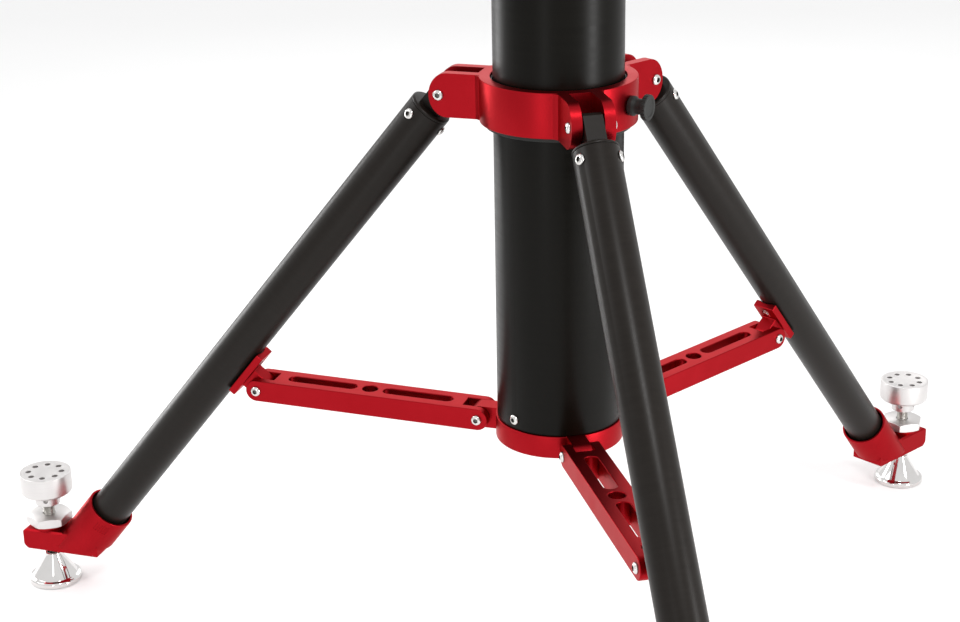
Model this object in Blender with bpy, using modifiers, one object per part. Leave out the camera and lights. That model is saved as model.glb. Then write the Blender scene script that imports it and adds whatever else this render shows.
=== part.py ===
"""Folding pier tripod: a tubular column with a sliding collar, three hinged legs and three spreader arms.

Units are metres and +Z is up.  Each leg station is an empty turned about the column, so that its local
+X points outwards along the leg.  Heights inside a station are counted from the top of the base ring.
"""

import math

import bmesh
import bpy

STATIONS = {"left": 180.0, "front": 300.0, "right": 60.0}  # leg azimuths in degrees
CLEARANCE = 0.0003

# Facets round a full turn
BIG_STEPS = 48
LEG_STEPS = 24
SMALL_STEPS = 10

# Column, base ring and head plate
COLUMN_R = 0.055
COLUMN_WALL = 0.003
COLUMN_TOP = 0.570
RING_R = 0.0565
RING_HEIGHT = 0.020
RING_BORE_R = 0.008
HEAD_BORE_R = 0.040
PLUG_HEIGHT = 0.018
COLUMN_SCREW_Z = 0.0088
HEAD_HEIGHT = 0.015
HEAD_BOLT_R = 0.006

# Sliding collar
COLLAR_R = 0.0665
COLLAR_HEIGHT = 0.038
HINGE_R = 0.100
HINGE_Z = 0.286
LUG_WIDTH = 0.0364
LUG_SLOT = 0.0184
LUG_NOSE_START = 0.0927
LUG_NOSE_REACH = 0.016
LUG_SLOT_ROOT = 0.067
BUSHING_R = 0.0568
BUSHING_SUNK = 0.002
BUSHING_FLANGE_R = 0.0620
BUSHING_FLANGE = 0.0035

# Legs, measured along the leg from the collar hinge
LEG_ANGLE = math.radians(39.0)
LEG_R = 0.019
LEG_WALL = 0.002
LEG_START = 0.019
LEG_END = 0.590
TONGUE_WIDTH = 0.0164
TONGUE_DEPTH = 0.020
TONGUE_TOP = 0.009
INSERT_PLUG = 0.028
INSERT_SCREW_DROP = 0.0095
PIVOT_ALONG = 0.3437
PIVOT_INWARD = 0.0388

# Spreader arms and their pins
BASE_PIVOT_R = 0.0725
BASE_PIVOT_Z = -0.010
ARM_HEIGHT = 0.020
ARM_WIDTH = 0.033
ARM_SLOT = 0.0168
ARM_TONGUE = 0.016
FORK_DEPTH = 0.0150
ARM_WINDOW = 0.012
ARM_HOLE_R = 0.0072
WINDOW_SPAN = (0.027, 0.094)
PIN_R = 0.003
BUTTON_R = 0.00475
BUTTON_HEIGHT = 0.0026
SADDLE_LENGTH = 0.049
SADDLE_THICKNESS = 0.007
SADDLE_WIDTH = 0.024
SADDLE_BELOW = 0.022  # how far the saddle reaches past the pivot, towards the foot
SADDLE_SCREW = 0.017

# Feet
FLOOR_Z = -0.243
FOOT_R = 0.528
SLEEVE_START = 0.568
SLEEVE_LENGTH = 0.066
SLEEVE_R = 0.0235
SLEEVE_FLOOR = -0.1975
BLOCK_TOP = -0.182
BLOCK_BOTTOM = -0.203
BLOCK_START = 0.4675
BLOCK_TIP = 0.549
BLOCK_WIDTH = 0.036
SEAT_R = 0.017
SEAT_TOP = -0.179
SCREW_R = 0.006
NUT_R = 0.0225
NUT_BOTTOM = -0.1787
NUT_TOP = -0.1695
KNOB_R = 0.0254
KNOB_TOP = -0.1245
KNOB_BOTTOM = -0.1463
KNOB_HUB_R = 0.0123
KNOB_HUB_BOTTOM = -0.1585
KNOB_HOLES = 8
KNOB_HOLE_PITCH_R = 0.0163
KNOB_HOLE_R = 0.003
PAD_R = 0.026
PAD_RIM = 0.006
PAD_CONE_R = 0.022
PAD_NECK_R = 0.0085
PAD_NECK_TOP = -0.2125
BALL_R = 0.0052
BALL_Z = -0.218
SOCKET_R = 0.0062

# Clamp knob
CLAMP_AZIMUTH = -13.0  # degrees
CLAMP_Z = 0.286
CLAMP_BASE_R = 0.0083
CLAMP_NECK_R = 0.0066
CLAMP_NECK_END = 0.0133
CLAMP_HEAD_R = 0.0108
CLAMP_LENGTH = 0.0175

RED = ("anodised_red", (0.48, 0.010, 0.016), 0.32, 0.75)
BLACK = ("anodised_black", (0.018, 0.018, 0.019), 0.40, 0.35)
POLYMER = ("black_polymer", (0.015, 0.015, 0.015), 0.55, 0.0)
STEEL = ("stainless", (0.72, 0.72, 0.71), 0.25, 1.0)
SATIN = ("satin_aluminium", (0.82, 0.80, 0.79), 0.38, 1.0)
CHROME = ("chrome", (0.80, 0.79, 0.78), 0.08, 1.0)


def clear_scene():
    for item in list(bpy.data.objects):
        bpy.data.objects.remove(item, do_unlink=True)


def new_collection(name, hidden=False):
    made = bpy.data.collections.new(name)
    bpy.context.scene.collection.children.link(made)
    made.hide_render = hidden
    return made


def paint(obj, look):
    """A material of the piece's own, so that each sub-part can be changed alone."""
    name, color, roughness, metallic = look
    made = bpy.data.materials.new(f"{obj.name}_{name}")
    made.use_nodes = True
    shader = made.node_tree.nodes["Principled BSDF"]
    shader.inputs["Base Color"].default_value = (*color, 1.0)
    shader.inputs["Roughness"].default_value = roughness
    shader.inputs["Metallic"].default_value = metallic
    made.diffuse_color = (*color, 1.0)
    obj.data.materials.append(made)


def place(obj, parent, location=(0, 0, 0), turn=(0, 0, 0), home=None):
    obj.parent = parent
    obj.location = location
    obj.rotation_euler = turn
    (home or PARTS).objects.link(obj)
    return obj


def empty(name, parent, location=(0, 0, 0), turn=(0, 0, 0)):
    made = bpy.data.objects.new(name, None)
    made.empty_display_size = 0.03
    return place(made, parent, location, turn)


def mesh_object(name, build):
    """An object around the mesh that build() makes in a bmesh."""
    mesh = bpy.data.meshes.new(name)
    shape = bmesh.new()
    build(shape)
    shape.to_mesh(mesh)
    shape.free()
    return bpy.data.objects.new(name, mesh)


def rod(name, radius, length, segments):
    """A cylinder about local Z, centred on its origin."""
    made = mesh_object(name, lambda shape: bmesh.ops.create_cone(
        shape, cap_ends=True, segments=segments, radius1=radius, radius2=radius, depth=length))
    made.data.shade_smooth()
    made.data.set_sharp_from_angle(angle=math.radians(40))
    return made


def block(name, size):
    def build(shape):
        bmesh.ops.create_cube(shape, size=1.0)
        bmesh.ops.scale(shape, vec=size, verts=shape.verts)
    return mesh_object(name, build)


def turned(name, profile, steps, loop=False):
    """A (radius, height) profile, listed down its outer side, turned about local Z."""
    def build(shape):
        points = [shape.verts.new((radius, 0.0, height)) for radius, height in profile]
        for first, second in zip(points, points[1:]):
            shape.edges.new((first, second))
        if loop:
            shape.edges.new((points[-1], points[0]))
    made = mesh_object(name, build)
    screw = made.modifiers.new("turn", "SCREW")
    screw.steps = steps
    screw.render_steps = steps
    screw.use_merge_vertices = True
    screw.merge_threshold = 0.00002
    screw.use_smooth_shade = True
    return made


def arc(cx, cy, radius, start, end, steps=6):
    """Points on an arc, in degrees."""
    angles = [math.radians(start + (end - start) * i / steps) for i in range(steps + 1)]
    return [(cx + radius * math.cos(a), cy + radius * math.sin(a)) for a in angles]


def capsule(start, end, radius, steps=6):
    """A bar from start to end along X with round ends centred on both."""
    return arc(end, 0.0, radius, -90, 90, steps) + arc(start, 0.0, radius, 90, 270, steps)


def plate(name, outline, thickness):
    """A flat outline in local XY, thickened evenly to both sides along Z."""
    curve = bpy.data.curves.new(name, "CURVE")
    curve.dimensions = "2D"
    curve.fill_mode = "BOTH"
    curve.extrude = thickness / 2
    line = curve.splines.new("POLY")
    line.points.add(len(outline) - 1)
    for point, (x, y) in zip(line.points, outline):
        point.co = (x, y, 0.0, 1.0)
    line.use_cyclic_u = True
    guide = bpy.data.objects.new(name + "_outline", curve)
    bpy.context.scene.collection.objects.link(guide)
    graph = bpy.context.evaluated_depsgraph_get()
    mesh = bpy.data.meshes.new_from_object(guide.evaluated_get(graph))
    bpy.data.objects.remove(guide, do_unlink=True)
    bpy.data.curves.remove(curve)
    shape = bmesh.new()
    shape.from_mesh(mesh)
    bmesh.ops.remove_doubles(shape, verts=shape.verts, dist=0.000001)
    bmesh.ops.recalc_face_normals(shape, faces=shape.faces)
    shape.to_mesh(mesh)
    shape.free()
    return bpy.data.objects.new(name, mesh)


def combine(target, other, operation, parent, location=(0, 0, 0), turn=(0, 0, 0)):
    """Cuts other from target, or joins it on, with other placed in parent's frame."""
    place(other, parent, location, turn, HELPERS)
    other.hide_render = True
    other.display_type = "WIRE"
    change = target.modifiers.new(other.name, "BOOLEAN")
    change.operation = operation
    change.object = other


def cut(target, other, parent, location=(0, 0, 0), turn=(0, 0, 0)):
    combine(target, other, "DIFFERENCE", parent, location, turn)


def join(target, other, parent, location=(0, 0, 0), turn=(0, 0, 0)):
    combine(target, other, "UNION", parent, location, turn)


UPRIGHT = (math.pi / 2, 0, 0)  # turns a plate's XY outline into the radial plane
ALONG_X = (0, math.pi / 2, 0)  # turns a rod's axis to local +X
ACROSS = (math.pi / 2, 0, 0)  # turns a rod's axis to local -Y


def button_screw(name, shank_r, shank_length, head_r=BUTTON_R, head_height=BUTTON_HEIGHT):
    """A domed screw about Z: the head starts at z = 0, the shank runs down from it."""
    return turned(name, [
        (0.0, head_height), (0.6 * head_r, 0.9 * head_height), (head_r, 0.0), (shank_r, 0.0), (shank_r, -shank_length), (0.0, -shank_length)], steps=SMALL_STEPS)


def pivot_pin(name, width):
    """A pin about Z with a domed head on both ends, outside a fork of this width."""
    half = width / 2 + CLEARANCE
    dome = [(0.0, BUTTON_HEIGHT), (0.6 * BUTTON_R, 0.9 * BUTTON_HEIGHT), (BUTTON_R, 0.0)]
    upper = [(radius, half + height) for radius, height in dome]
    lower = [(radius, -half - height) for radius, height in reversed(dome)]
    return turned(name, upper + [(PIN_R, half), (PIN_R, -half)] + lower, steps=SMALL_STEPS)


def build_column(root):
    inner = COLUMN_R - COLUMN_WALL
    column = turned("column_tube", [
        (COLUMN_R, COLUMN_TOP), (COLUMN_R, CLEARANCE), (inner, CLEARANCE), (inner, COLUMN_TOP)],
        steps=BIG_STEPS, loop=True)
    place(column, root)

    plug = inner - CLEARANCE
    ring = turned("base_ring", [
        (plug, PLUG_HEIGHT), (plug, 0.0), (RING_R, 0.0), (RING_R, -RING_HEIGHT),
        (RING_BORE_R, -RING_HEIGHT), (RING_BORE_R, PLUG_HEIGHT)], steps=BIG_STEPS, loop=True)
    place(ring, root)

    head = turned("head_plate", [
        (0.0, COLUMN_TOP + HEAD_HEIGHT), (RING_R, COLUMN_TOP + HEAD_HEIGHT),
        (RING_R, COLUMN_TOP + CLEARANCE), (plug, COLUMN_TOP + CLEARANCE),
        (plug, COLUMN_TOP - PLUG_HEIGHT), (HEAD_BORE_R, COLUMN_TOP - PLUG_HEIGHT),
        (HEAD_BORE_R, COLUMN_TOP + CLEARANCE), (0.0, COLUMN_TOP + CLEARANCE)], steps=BIG_STEPS)
    place(head, root)
    bolt_length = 2 * HEAD_HEIGHT
    cut(head, rod("head_bolt_hole", HEAD_BOLT_R, bolt_length, 16), root, (0, 0, COLUMN_TOP + HEAD_HEIGHT / 2))

    ends = (("base", ring, COLUMN_SCREW_Z), ("head", head, COLUMN_TOP - COLUMN_SCREW_Z))
    for end, plugged, height in ends:
        for name, azimuth in STATIONS.items():
            screw_name = f"{end}_screw_{name}"
            side = empty(screw_name + "_axis", root, (0, 0, height), (0, 0, math.radians(azimuth + 60)))
            length = COLUMN_R - plug + 0.008
            screw = button_screw(screw_name, 0.0024, length, head_r=0.0046, head_height=0.0022)
            place(screw, side, (COLUMN_R + CLEARANCE, 0, 0), ALONG_X)
            hole_length = length + 0.010
            for tag, target in (("wall", column), ("plug", plugged)):
                hole = rod(f"{screw_name}_{tag}_hole", 0.0024 + CLEARANCE, hole_length, SMALL_STEPS)
                cut(target, hole, side, (COLUMN_R + 0.003 - hole_length / 2 + CLEARANCE, 0, 0), ALONG_X)
            paint(screw, STEEL)

    for name, azimuth in STATIONS.items():
        station = empty(f"base_{name}_axis", root, (0, 0, 0), (0, 0, math.radians(azimuth)))
        half = RING_HEIGHT / 2
        outline = [(0.048, -half)] + arc(BASE_PIVOT_R, 0.0, half, -90, 90) + [(0.048, half)]
        tongue = plate(f"base_tongue_{name}", outline, ARM_TONGUE)
        join(ring, tongue, station, (0, 0, BASE_PIVOT_Z), UPRIGHT)
        hole = rod(f"base_pin_hole_{name}", PIN_R + CLEARANCE, 2 * ARM_TONGUE, SMALL_STEPS)
        cut(ring, hole, station, (BASE_PIVOT_R, 0, BASE_PIVOT_Z), ACROSS)
    paint(column, BLACK)
    paint(ring, RED)
    paint(head, RED)


def build_collar(root):
    middle = HINGE_Z
    half = COLLAR_HEIGHT / 2
    bore = BUSHING_R + CLEARANCE
    ring = turned("collar_ring", [
        (COLLAR_R, middle + half), (COLLAR_R, middle - half), (bore, middle - half),
        (bore, middle + half)], steps=BIG_STEPS, loop=True)
    place(ring, root)

    slide = COLUMN_R + 0.0004
    flange_top = middle - half - CLEARANCE
    bushing = turned("collar_bushing", [
        (BUSHING_R, middle + half - BUSHING_SUNK), (BUSHING_R, flange_top), (BUSHING_FLANGE_R, flange_top),
        (BUSHING_FLANGE_R, flange_top - BUSHING_FLANGE), (slide, flange_top - BUSHING_FLANGE),
        (slide, middle + half - BUSHING_SUNK)], steps=BIG_STEPS, loop=True)
    place(bushing, root)

    for name, azimuth in STATIONS.items():
        station = empty(f"collar_{name}_axis", root, (0, 0, 0), (0, 0, math.radians(azimuth)))
        inner = 0.0605
        nose = [(LUG_NOSE_START + LUG_NOSE_REACH * x, half * y) for x, y in arc(0.0, 0.0, 1.0, -90, 90, 8)]
        outline = [(inner, -half)] + nose + [(inner, half)]
        join(ring, plate(f"collar_lug_{name}", outline, LUG_WIDTH), station, (0, 0, middle), UPRIGHT)
        depth = 0.130 - LUG_SLOT_ROOT
        slot = block(f"collar_slot_{name}", (depth, LUG_SLOT, 2 * COLLAR_HEIGHT))
        cut(ring, slot, station, (LUG_SLOT_ROOT + depth / 2, 0, middle))
        hole = rod(f"collar_pin_hole_{name}", PIN_R + CLEARANCE, 2 * LUG_WIDTH, SMALL_STEPS)
        cut(ring, hole, station, (HINGE_R, 0, middle), ACROSS)
        cheek = (LUG_WIDTH - LUG_SLOT) / 2
        for side, direction in (("a", 1), ("b", -1)):
            screw = button_screw(f"hinge_screw_{name}_{side}", PIN_R, cheek)
            reach = direction * (LUG_WIDTH / 2 + CLEARANCE)
            place(screw, station, (HINGE_R, reach, middle), (-direction * math.pi / 2, 0, 0))
            paint(screw, STEEL)

    clamp = empty("clamp_axis", root, (0, 0, CLAMP_Z), (0, 0, math.radians(CLAMP_AZIMUTH)))
    thread_r, tip = 0.004, COLUMN_R + 0.0008
    base, neck_end, head_end = COLLAR_R + CLEARANCE, COLLAR_R + CLAMP_NECK_END, COLLAR_R + CLAMP_LENGTH
    knob = turned("clamp_knob", [
        (0.0, head_end), (CLAMP_HEAD_R - 0.001, head_end), (CLAMP_HEAD_R, head_end - 0.001),
        (CLAMP_HEAD_R, neck_end), (CLAMP_NECK_R, neck_end), (CLAMP_NECK_R, base + 0.006),
        (CLAMP_BASE_R, base + 0.004), (CLAMP_BASE_R, base), (thread_r, base), (thread_r, tip), (0.0, tip)], steps=16)
    place(knob, clamp, (0, 0, 0), ALONG_X)
    for tag, target in (("ring", ring), ("bushing", bushing)):
        hole = rod(f"clamp_hole_{tag}", thread_r + CLEARANCE, 0.030, SMALL_STEPS)
        cut(target, hole, clamp, (COLLAR_R, 0, 0), ALONG_X)
    paint(ring, RED)
    paint(bushing, POLYMER)
    paint(knob, POLYMER)


def build_leg(root, name, azimuth):
    """Everything that swings with one leg; the leg's empty lies on its collar hinge, local -Z along the leg."""
    station = empty(f"leg_{name}_station", root, (0, 0, 0), (0, 0, math.radians(azimuth)))
    leg = empty(f"leg_{name}_axis", station, (HINGE_R, 0, HINGE_Z), (0, -LEG_ANGLE, 0))

    inner = LEG_R - LEG_WALL
    tube = turned(f"leg_tube_{name}", [
        (LEG_R, -LEG_START - 0.003), (LEG_R, -LEG_END), (inner, -LEG_END),
        (inner, -LEG_START - 0.003)], steps=LEG_STEPS, loop=True)
    place(tube, leg)

    plug = inner - CLEARANCE
    rim_z = -LEG_START - 0.003 + CLEARANCE
    insert = turned(f"leg_insert_{name}", [
        (0.0, -LEG_START), (LEG_R - 0.0015, -LEG_START), (LEG_R, -LEG_START - 0.0012), (LEG_R, rim_z),
        (plug, rim_z), (plug, rim_z - INSERT_PLUG), (0.0, rim_z - INSERT_PLUG)], steps=LEG_STEPS)
    place(insert, leg)
    half = TONGUE_DEPTH / 2
    corner = 0.004
    outline = [(half, -LEG_START - 0.005), (half, TONGUE_TOP - corner), (half - corner, TONGUE_TOP),
               (-half + corner, TONGUE_TOP), (-half, TONGUE_TOP - corner), (-half, -LEG_START - 0.005)]
    join(insert, plate(f"tongue_{name}", outline, TONGUE_WIDTH), leg, (0, 0, 0), UPRIGHT)
    cut(insert, rod(f"tongue_hole_{name}", PIN_R + CLEARANCE, 0.040, SMALL_STEPS), leg, (0, 0, 0), ACROSS)
    for count, turn in enumerate((60, 180, 300)):
        label = f"insert_screw_{name}_{count + 1}"
        side = empty(label + "_axis", leg, (0, 0, rim_z - INSERT_SCREW_DROP), (0, 0, math.radians(turn)))
        screw = button_screw(label, 0.0024, 0.008, head_r=0.0046, head_height=0.0022)
        place(screw, side, (LEG_R + CLEARANCE, 0, 0), ALONG_X)
        for tag, target in (("wall", tube), ("plug", insert)):
            hole = rod(f"{label}_{tag}_hole", 0.0024 + CLEARANCE, 0.016, SMALL_STEPS)
            cut(target, hole, side, (LEG_R, 0, 0), ALONG_X)
        paint(screw, STEEL)

    saddle = block(f"leg_bracket_{name}", (SADDLE_THICKNESS, SADDLE_WIDTH, SADDLE_LENGTH))
    middle = -PIVOT_ALONG + SADDLE_LENGTH / 2 - SADDLE_BELOW
    place(saddle, leg, (-LEG_R + 0.0010 - SADDLE_THICKNESS / 2, 0, middle))
    edge = saddle.modifiers.new("edge", "BEVEL")
    edge.width = 0.0015
    edge.segments = 1
    reach = PIVOT_INWARD - LEG_R - 0.003
    half = ARM_HEIGHT / 2
    outline = [(reach, half)] + arc(0.0, 0.0, half, 90, 270) + [(reach, -half)]
    tongue = plate(f"bracket_tongue_{name}", outline, ARM_TONGUE)
    join(saddle, tongue, leg, (-PIVOT_INWARD, 0, -PIVOT_ALONG), UPRIGHT)
    hole = rod(f"bracket_hole_{name}", PIN_R + CLEARANCE, 0.040, SMALL_STEPS)
    cut(saddle, hole, leg, (-PIVOT_INWARD, 0, -PIVOT_ALONG), ACROSS)
    saddle_cut = rod(f"bracket_seat_{name}", LEG_R + CLEARANCE, 0.080, LEG_STEPS)
    cut(saddle, saddle_cut, leg, (0, 0, middle))
    recess = rod(f"bracket_recess_{name}", 0.0045, 0.010, SMALL_STEPS)
    cut(saddle, recess, leg, (-LEG_R - SADDLE_THICKNESS - 0.0015, 0, -PIVOT_ALONG + SADDLE_SCREW), ALONG_X)

    for piece in (tube, insert):
        paint(piece, BLACK)
    paint(saddle, RED)
    build_foot(station, leg, name)


def build_foot(station, leg, name):
    """The bracket round the leg's lower end, and the levelling screw that stands in it."""
    bracket = rod(f"foot_bracket_{name}", SLEEVE_R, SLEEVE_LENGTH, LEG_STEPS)
    place(bracket, leg, (0, 0, -SLEEVE_START - SLEEVE_LENGTH / 2))
    trim = block(f"sleeve_trim_{name}", (0.300, 0.100, 0.080))
    cut(bracket, trim, station, (0.480, 0, SLEEVE_FLOOR - 0.040))
    block_length = BLOCK_TIP - BLOCK_START
    outline = [(BLOCK_START, BLOCK_BOTTOM), (BLOCK_TIP - 0.003, BLOCK_BOTTOM), (BLOCK_TIP, BLOCK_BOTTOM + 0.003),
               (BLOCK_TIP, BLOCK_TOP - 0.002), (BLOCK_TIP - 0.002, BLOCK_TOP), (BLOCK_START + 0.020, BLOCK_TOP),
               (BLOCK_START, BLOCK_TOP - 0.010)]
    join(bracket, plate(f"foot_block_{name}", outline, BLOCK_WIDTH), station, (0, 0, 0), UPRIGHT)
    face = block(f"nut_seat_{name}", (0.080, 0.100, 0.080))
    cut(bracket, face, station, (FOOT_R - NUT_R - 0.001 + 0.040, 0, BLOCK_TOP + 0.040))
    seat_length = SEAT_TOP - BLOCK_TOP + 0.005
    join(bracket, rod(f"nut_boss_{name}", SEAT_R, seat_length, LEG_STEPS), station, (FOOT_R, 0, SEAT_TOP - seat_length / 2))
    pocket_length = LEG_END - SLEEVE_START + 0.010 + CLEARANCE
    pocket = rod(f"leg_pocket_{name}", LEG_R + CLEARANCE, pocket_length, LEG_STEPS)
    cut(bracket, pocket, leg, (0, 0, -SLEEVE_START + 0.010 - pocket_length / 2))
    hole = rod(f"foot_screw_hole_{name}", SCREW_R + CLEARANCE, block_length, 16)
    cut(bracket, hole, station, (FOOT_R, 0, BLOCK_BOTTOM + 0.010))
    paint(bracket, RED)

    axis = empty(f"foot_{name}_axis", station, (FOOT_R, 0, 0))
    nut = rod(f"lock_nut_{name}", NUT_R, NUT_TOP - NUT_BOTTOM, 6)
    place(nut, axis, (0, 0, (NUT_TOP + NUT_BOTTOM) / 2))
    cut(nut, rod(f"lock_nut_hole_{name}", SCREW_R + CLEARANCE, 0.040, 16), axis, (0, 0, NUT_TOP))

    knob = turned(f"foot_knob_{name}", [
        (0.0, KNOB_TOP), (KNOB_R - 0.001, KNOB_TOP), (KNOB_R, KNOB_TOP - 0.001), (KNOB_R, KNOB_BOTTOM + 0.002),
        (KNOB_R - 0.002, KNOB_BOTTOM), (KNOB_HUB_R, KNOB_BOTTOM), (KNOB_HUB_R, KNOB_HUB_BOTTOM + 0.001),
        (KNOB_HUB_R - 0.001, KNOB_HUB_BOTTOM), (SCREW_R + CLEARANCE, KNOB_HUB_BOTTOM),
        (SCREW_R + CLEARANCE, KNOB_BOTTOM + 0.005), (0.0, KNOB_BOTTOM + 0.005)], steps=LEG_STEPS)
    place(knob, axis)
    for count in range(KNOB_HOLES):
        angle = 2 * math.pi * count / KNOB_HOLES
        hole = rod(f"knob_hole_{name}_{count + 1}", KNOB_HOLE_R, 0.012, 8)
        spot = (KNOB_HOLE_PITCH_R * math.cos(angle), KNOB_HOLE_PITCH_R * math.sin(angle), KNOB_TOP)
        cut(knob, hole, axis, spot)

    ball = [(radius, BALL_Z + height) for radius, height in arc(0, 0, BALL_R, 45, -90, 6)]
    screw = turned(f"foot_screw_{name}", [
        (0.0, KNOB_BOTTOM + 0.005 - CLEARANCE), (SCREW_R, KNOB_BOTTOM + 0.005 - CLEARANCE),
        (SCREW_R, BLOCK_BOTTOM - 0.001), (0.0037, BLOCK_BOTTOM - 0.003)] + ball[:-1]
        + [(0.0, BALL_Z - BALL_R)], steps=16)
    place(screw, axis)

    pad = turned(f"foot_pad_{name}", [
        (0.0, BALL_Z - SOCKET_R), (SOCKET_R, BALL_Z - SOCKET_R), (SOCKET_R, PAD_NECK_TOP),
        (PAD_NECK_R, PAD_NECK_TOP), (PAD_CONE_R, FLOOR_Z + PAD_RIM), (PAD_R - 0.001, FLOOR_Z + PAD_RIM),
        (PAD_R, FLOOR_Z + PAD_RIM - 0.001), (PAD_R, FLOOR_Z), (0.0, FLOOR_Z)], steps=LEG_STEPS)
    place(pad, empty(f"pad_{name}_tilt_axis", axis, (0, 0, BALL_Z)), (0, 0, -BALL_Z))
    paint(nut, SATIN)
    paint(knob, SATIN)
    paint(screw, STEEL)
    paint(pad, CHROME)


def leg_pivot():
    """Where the arm meets the leg, as (radius, height) in the station."""
    along = (math.sin(LEG_ANGLE), -math.cos(LEG_ANGLE))
    inward = (-math.cos(LEG_ANGLE), -math.sin(LEG_ANGLE))
    return (HINGE_R + PIVOT_ALONG * along[0] + PIVOT_INWARD * inward[0],
            HINGE_Z + PIVOT_ALONG * along[1] + PIVOT_INWARD * inward[1])


def build_arm(root, name, azimuth):
    outer_r, outer_z = leg_pivot()
    length = math.hypot(outer_r - BASE_PIVOT_R, outer_z - BASE_PIVOT_Z)
    rise = math.atan2(outer_z - BASE_PIVOT_Z, outer_r - BASE_PIVOT_R)
    station = empty(f"arm_{name}_station", root, (0, 0, 0), (0, 0, math.radians(azimuth)))
    axis = empty(f"arm_{name}_axis", station, (BASE_PIVOT_R, 0, BASE_PIVOT_Z), (0, -rise, 0))
    arm = plate(f"arm_{name}", capsule(0.0, length, ARM_HEIGHT / 2), ARM_WIDTH)
    place(arm, axis, (0, 0, 0), UPRIGHT)
    for end, centre in (("inner", 0.0), ("outer", length)):
        direction = 1 if centre == 0.0 else -1
        reach = FORK_DEPTH + 0.030
        fork = block(f"arm_fork_{name}_{end}", (reach, ARM_SLOT, 0.060))
        cut(arm, fork, axis, (centre + direction * (FORK_DEPTH - reach / 2), 0, 0))
        hole = rod(f"arm_pin_hole_{name}_{end}", PIN_R + CLEARANCE, 0.060, SMALL_STEPS)
        cut(arm, hole, axis, (centre, 0, 0), ACROSS)
        near, far = (centre + direction * distance for distance in WINDOW_SPAN)
        radius = ARM_WINDOW / 2
        ends = sorted((near + direction * radius, far - direction * radius))
        cut(arm, plate(f"arm_window_{name}_{end}", capsule(*ends, radius, 4), 0.060), axis)
        pin = pivot_pin(f"arm_{end}_pin_{name}", ARM_WIDTH)
        place(pin, axis, (centre, 0, 0), ACROSS)
        paint(pin, STEEL)
    cut(arm, rod(f"arm_hole_{name}", ARM_HOLE_R, 0.060, 16), axis, (length / 2, 0, 0))
    paint(arm, RED)


clear_scene()
PARTS = new_collection("pier_tripod")
HELPERS = new_collection("pier_tripod_cutters", hidden=True)
# The feet stand at z = 0, and the footprint's bounding box is centred on the origin.
ROOT = empty("tripod_root", None, (FOOT_R / 4, 0, -FLOOR_Z))
build_column(ROOT)
build_collar(ROOT)
for station_name, station_azimuth in STATIONS.items():
    build_leg(ROOT, station_name, station_azimuth)
    build_arm(ROOT, station_name, station_azimuth)
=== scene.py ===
"""Looks for the folding pier tripod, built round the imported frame.  Metres, +Z up, the feet on z = 0."""

import math

import bmesh
import bpy
from mathutils import Matrix, Vector


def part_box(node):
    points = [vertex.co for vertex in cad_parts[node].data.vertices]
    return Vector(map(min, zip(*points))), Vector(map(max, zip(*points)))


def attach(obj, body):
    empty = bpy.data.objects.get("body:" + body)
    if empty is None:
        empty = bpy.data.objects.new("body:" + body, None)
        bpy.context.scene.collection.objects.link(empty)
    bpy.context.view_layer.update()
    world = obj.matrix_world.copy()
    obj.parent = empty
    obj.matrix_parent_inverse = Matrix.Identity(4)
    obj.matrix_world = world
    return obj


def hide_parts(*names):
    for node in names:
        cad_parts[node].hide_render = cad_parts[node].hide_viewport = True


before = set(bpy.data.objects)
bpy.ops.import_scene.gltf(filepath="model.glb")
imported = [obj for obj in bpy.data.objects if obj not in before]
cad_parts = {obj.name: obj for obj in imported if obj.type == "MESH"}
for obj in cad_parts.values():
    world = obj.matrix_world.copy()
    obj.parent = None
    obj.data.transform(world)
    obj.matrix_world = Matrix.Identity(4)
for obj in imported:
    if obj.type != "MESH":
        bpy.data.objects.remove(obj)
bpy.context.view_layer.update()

# ---------------------------------------------------------------- places read from the frame
SIDES = ("left", "front", "right")
COLUMN_LOW, COLUMN_HIGH = (Vector(corner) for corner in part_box("column_tube"))
AXIS = (COLUMN_LOW + COLUMN_HIGH) / 2
RING_LOW, RING_HIGH = (Vector(corner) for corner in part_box("base_ring"))
COLLAR_LOW, COLLAR_HIGH = (Vector(corner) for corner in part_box("collar_ring"))
GAP = 0.0003

COLUMN_R = (COLUMN_HIGH.x - COLUMN_LOW.x) / 2
COLUMN_WALL = 0.003
DECK = COLUMN_LOW.z - GAP  # top face of the base ring's flange
COLUMN_TOP = COLUMN_HIGH.z - DECK
RING_R = 0.0565
RING_HEIGHT = DECK - RING_LOW.z
RING_BORE_R = 0.008
RING_FLOOR = 0.004
PLUG_BORE_R = 0.030
PLUG_HEIGHT = 0.018
HEAD_BORE_R = 0.040
HEAD_BOLT_R = 0.0062
SCREW_Z = 0.0088
HEAD_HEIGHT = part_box("head_plate")[1][2] - DECK - COLUMN_TOP

COLLAR_R = 0.0665
COLLAR_HALF = (COLLAR_HIGH.z - COLLAR_LOW.z) / 2
HINGE_R = 0.100
HINGE_Z = (COLLAR_HIGH.z + COLLAR_LOW.z) / 2 - DECK
LUG_WIDTH = 0.0364
LUG_SLOT = 0.0184
LUG_NOSE_START = 0.0927
LUG_NOSE_REACH = 0.016
SLOT_ROOT = 0.067
COLLAR_BORE_R = 0.0571
LUG_ROOT = 0.0605
BUSHING_R = 0.0568
BUSHING_BORE_R = 0.0554
BUSHING_FLANGE_R = 0.0620
BUSHING_FLANGE = 0.0035
BUSHING_SUNK = 0.002
CLAMP_AZIMUTH = math.radians(-13.0)
CLAMP_HOLE_R = 0.0043

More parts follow.
